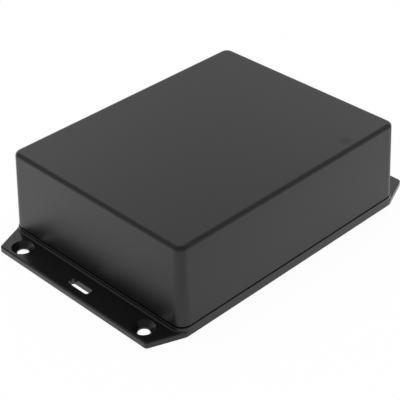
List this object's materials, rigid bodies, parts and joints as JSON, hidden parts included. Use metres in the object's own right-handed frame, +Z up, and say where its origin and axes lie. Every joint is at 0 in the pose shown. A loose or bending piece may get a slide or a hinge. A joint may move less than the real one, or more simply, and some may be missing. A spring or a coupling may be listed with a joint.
{
  "type": "plastic project box",
  "caption": "Rectangular black plastic project box: a drafted case with rounded edges on a lid whose end flanges carry countersunk mounting holes and tie slots.",
  "frame": {"origin": "centre of the lid's flat underside, which rests on the ground", "axes": "+X along the box's length, towards one flange; +Y across its width; +Z up, from the lid to the closed top of the case"},
  "size_m": [0.1436, 0.0942, 0.0378],
  "materials": {
    "case_plastic": "fine matt moulded texture, black",
    "lid_plastic": "smoother satin moulded black",
    "screw_steel": "bright zinc-plated steel"
  },
  "bodies": {
    "root": {"box_body": "case_plastic", "flanged_lid": "lid_plastic", "lid_screws": "screw_steel"}
  },
  "joints": []
}
